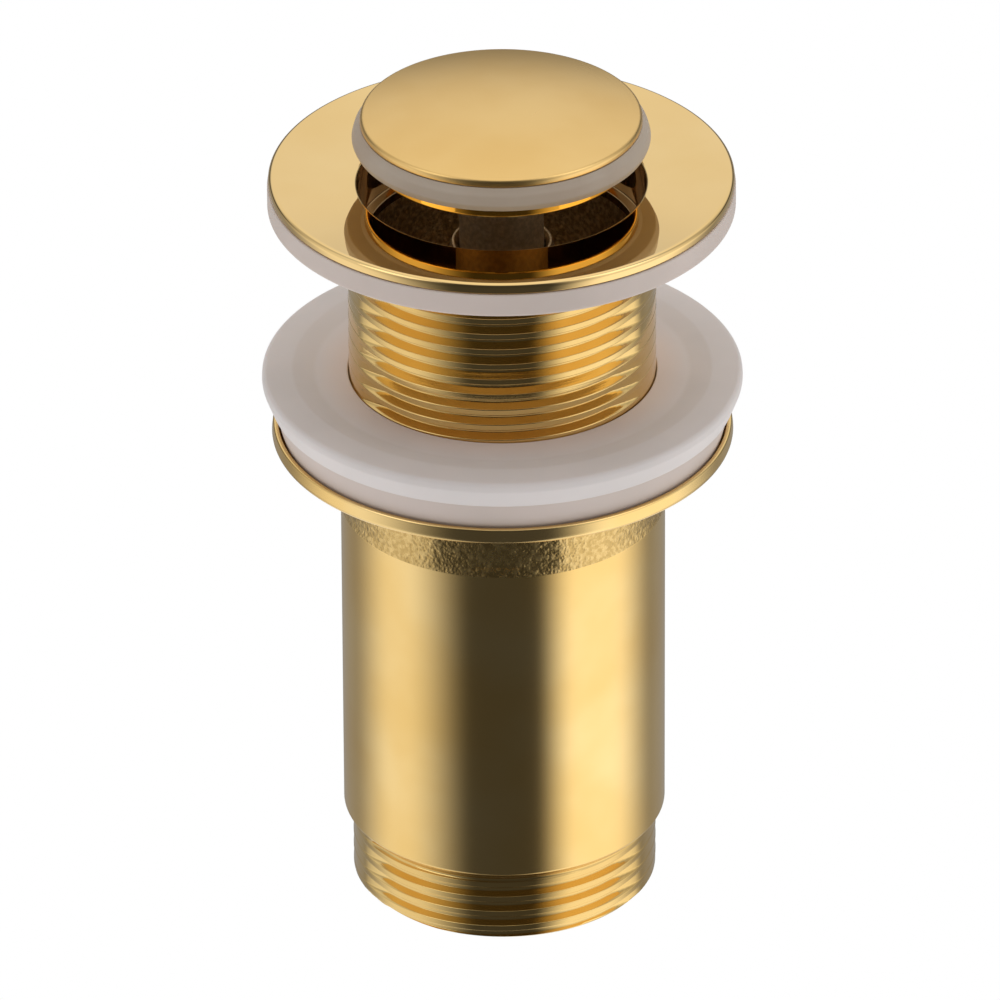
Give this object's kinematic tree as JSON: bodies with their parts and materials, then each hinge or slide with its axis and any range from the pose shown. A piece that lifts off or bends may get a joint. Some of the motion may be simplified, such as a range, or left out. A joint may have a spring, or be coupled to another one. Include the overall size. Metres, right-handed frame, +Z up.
{
  "type": "pop up basin waste",
  "caption": "Pop up basin waste: sprung push plug over a round flange, threaded tail with washers, and a flanged lower sleeve with an outlet thread.",
  "frame": {"origin": "on the axis, in the plane of the outlet end", "axes": "+Z up the axis towards the plug, +X to the right and -Y towards the viewer"},
  "size_m": [0.065, 0.065, 0.1186],
  "materials": {
    "polished_gold": "gold plated brass, turned and polished",
    "satin_gold": "gold plated brass, satin",
    "bare_brass": "bare turned brass",
    "steel": "stainless steel",
    "white_silicone": "soft white silicone",
    "white_rubber": "white rubber",
    "black_rubber": "black rubber",
    "white_plastic": "white plastic"
  },
  "bodies": {
    "lower": {"lower_body": "polished_gold"},
    "washers": {"backing_washer": "white_plastic", "seal_washer": "white_rubber"},
    "upper": {"upper_body": "polished_gold", "upper_washer": "white_plastic", "core_pin": "bare_brass", "lock_washer": "steel", "core_nut": "bare_brass", "thrust_washer": "white_plastic", "snap_ring": "steel", "spring_seat": "steel", "cartridge_spring": "steel"},
    "plug": {"plug_cap": "satin_gold", "plug_seal": "white_silicone", "seal_clamp_disc": "satin_gold", "plug_stud": "steel", "plunger": "satin_gold", "plunger_ring": "black_rubber", "index_pin": "steel"},
    "index": {"index_barrel": "white_plastic"}
  },
  "joints": [
    {"name": "clamp_turn", "type": "hinge", "parent": "lower", "child": "washers", "pos_m": [0, 0, 0.0715], "axis": [0, 0, 1], "range_deg": [-2520, 1440]},
    {"name": "clamp_travel", "type": "slide", "parent": "washers", "child": "upper", "axis": [0, 0, 1], "range_m": [-0.01617, 0.00924]},
    {"name": "plug_slide", "type": "slide", "parent": "upper", "child": "plug", "axis": [0, 0, 1], "range_m": [-0.00565, 0], "stiffness_N_per_m": 1500, "springref_m": 0.0067, "deforming": ["cartridge_spring"]},
    {"name": "index_turn", "type": "hinge", "parent": "upper", "child": "index", "pos_m": [0, 0, 0.0853], "axis": [0, 0, 1], "range_deg": [-33.5, 0.5]}
  ],
  "couplings": [
    {"joint": "clamp_travel", "follows": "clamp_turn", "m_per_rad": 0.00036749},
    {"joint": "index_turn", "follows": "plug_slide", "rad_per_m": 101.94}
  ]
}
